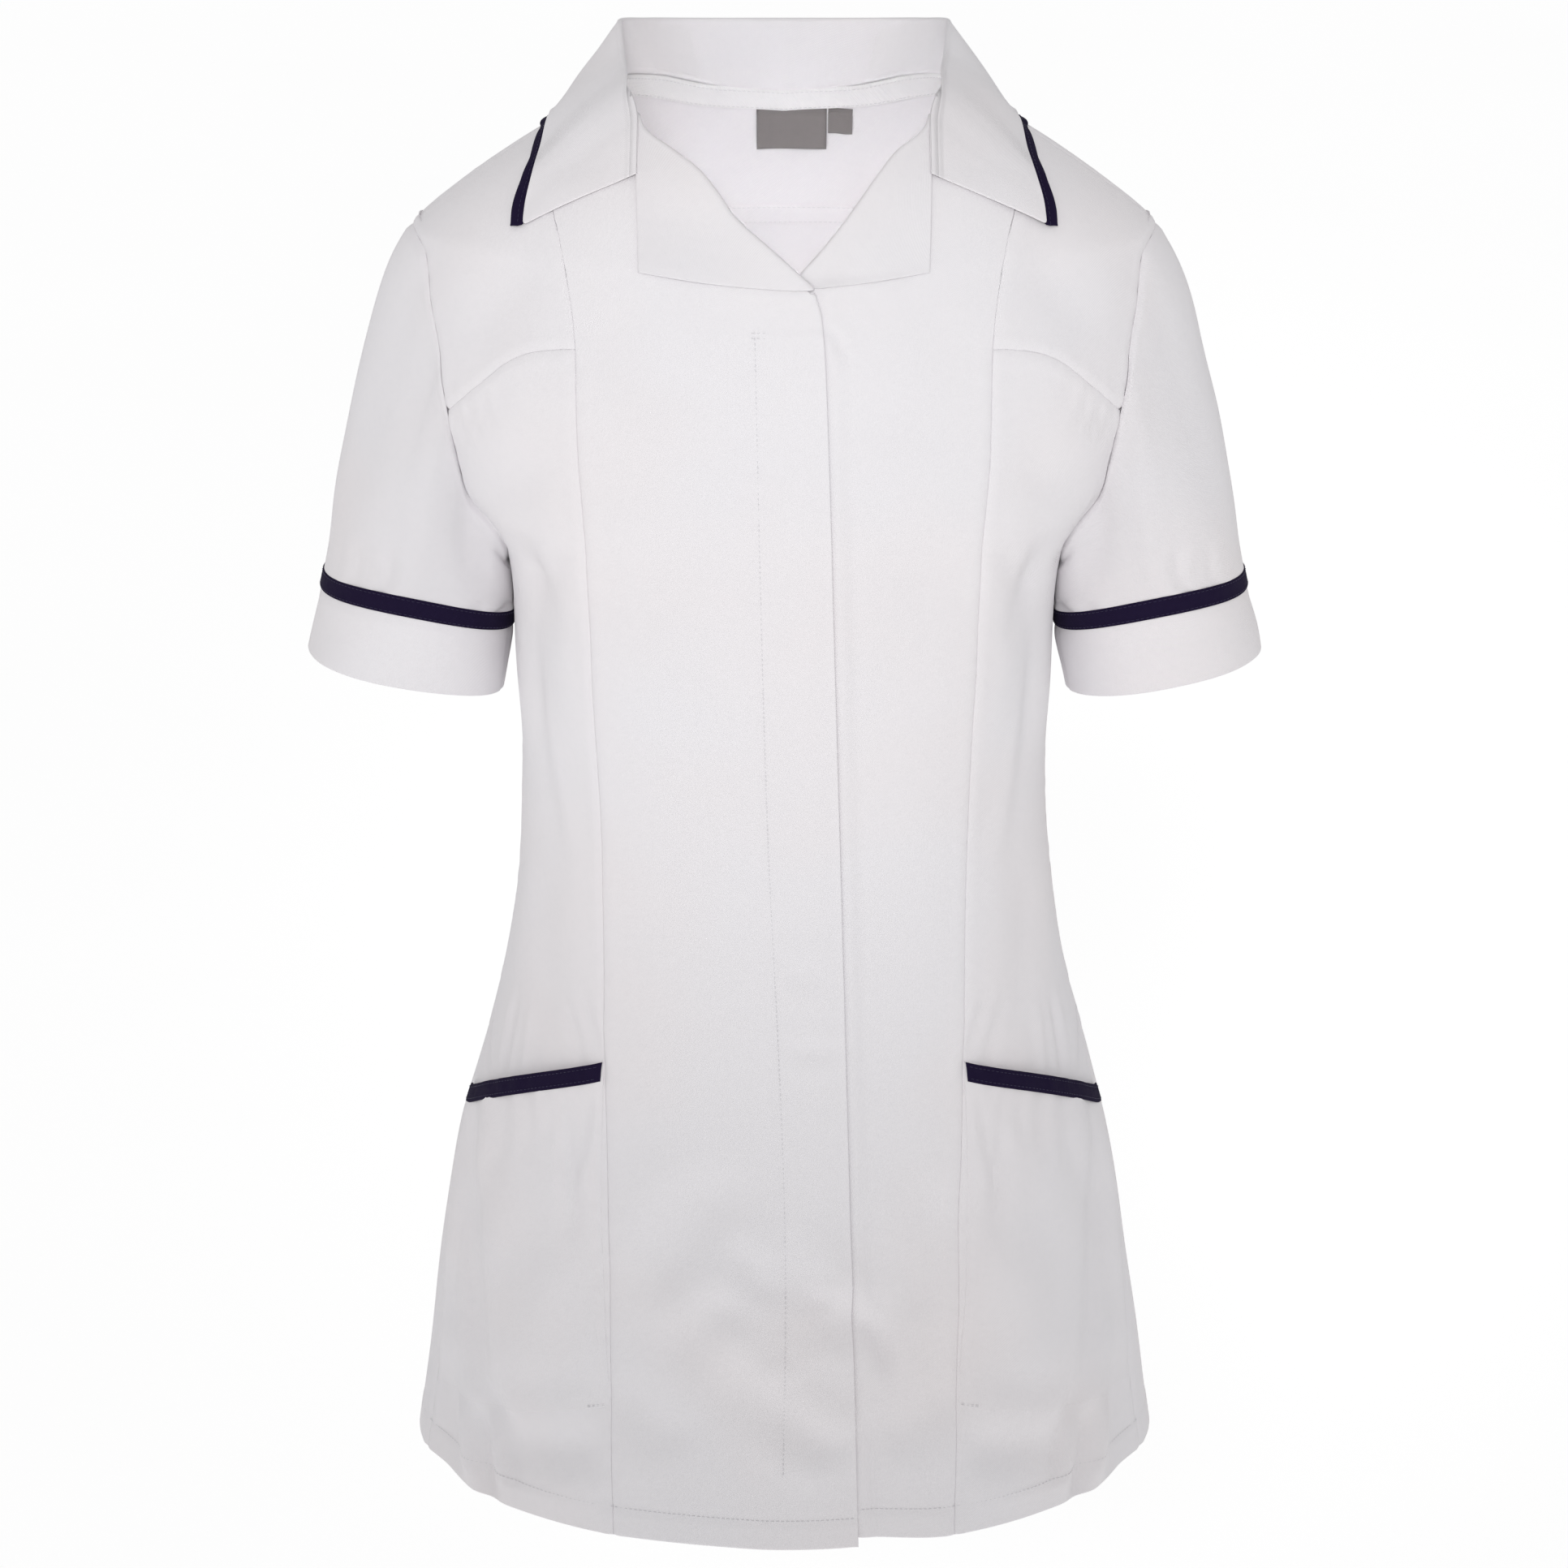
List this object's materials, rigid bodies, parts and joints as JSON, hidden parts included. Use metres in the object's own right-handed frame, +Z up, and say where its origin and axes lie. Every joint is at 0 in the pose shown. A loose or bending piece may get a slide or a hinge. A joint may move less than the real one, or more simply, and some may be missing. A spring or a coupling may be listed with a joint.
{
  "type": "work tunic",
  "caption": "Short-sleeved fitted work tunic with collar and reveres, concealed front, princess seams, hip pockets and contrast trims, filled out as when worn.",
  "frame": {"origin": "middle of the neck, level with the highest points of the shoulders, where the wearer's shoulders carry the tunic", "axes": "+Z up, the front faces -Y, and the wearer's left side is +X"},
  "size_m": [0.473, 0.293, 0.7355],
  "materials": {
    "white_cloth": "matt white polyester and cotton twill",
    "navy_cloth": "matt dark navy trim cloth",
    "grey_label": "mid grey woven label, blank"
  },
  "bodies": {
    "root": {"front_centre_right": "white_cloth", "front_centre_left": "white_cloth", "side_front_upper_right": "white_cloth", "side_front_upper_left": "white_cloth", "side_front_lower_right": "white_cloth", "side_front_lower_left": "white_cloth", "back_yoke": "white_cloth", "back_panel": "white_cloth", "revere_right": "white_cloth", "revere_left": "white_cloth", "sleeve_right": "white_cloth", "sleeve_left": "white_cloth", "cuff_right": "white_cloth", "cuff_left": "white_cloth", "cuff_trim_right": "navy_cloth", "cuff_trim_left": "navy_cloth", "collar": "white_cloth", "collar_trim": "navy_cloth", "pocket_right": "white_cloth", "pocket_left": "white_cloth", "pocket_trim_right": "navy_cloth", "pocket_trim_left": "navy_cloth", "neck_tape": "white_cloth", "yoke_tape": "white_cloth", "main_label": "grey_label", "size_tab": "grey_label"}
  },
  "joints": []
}
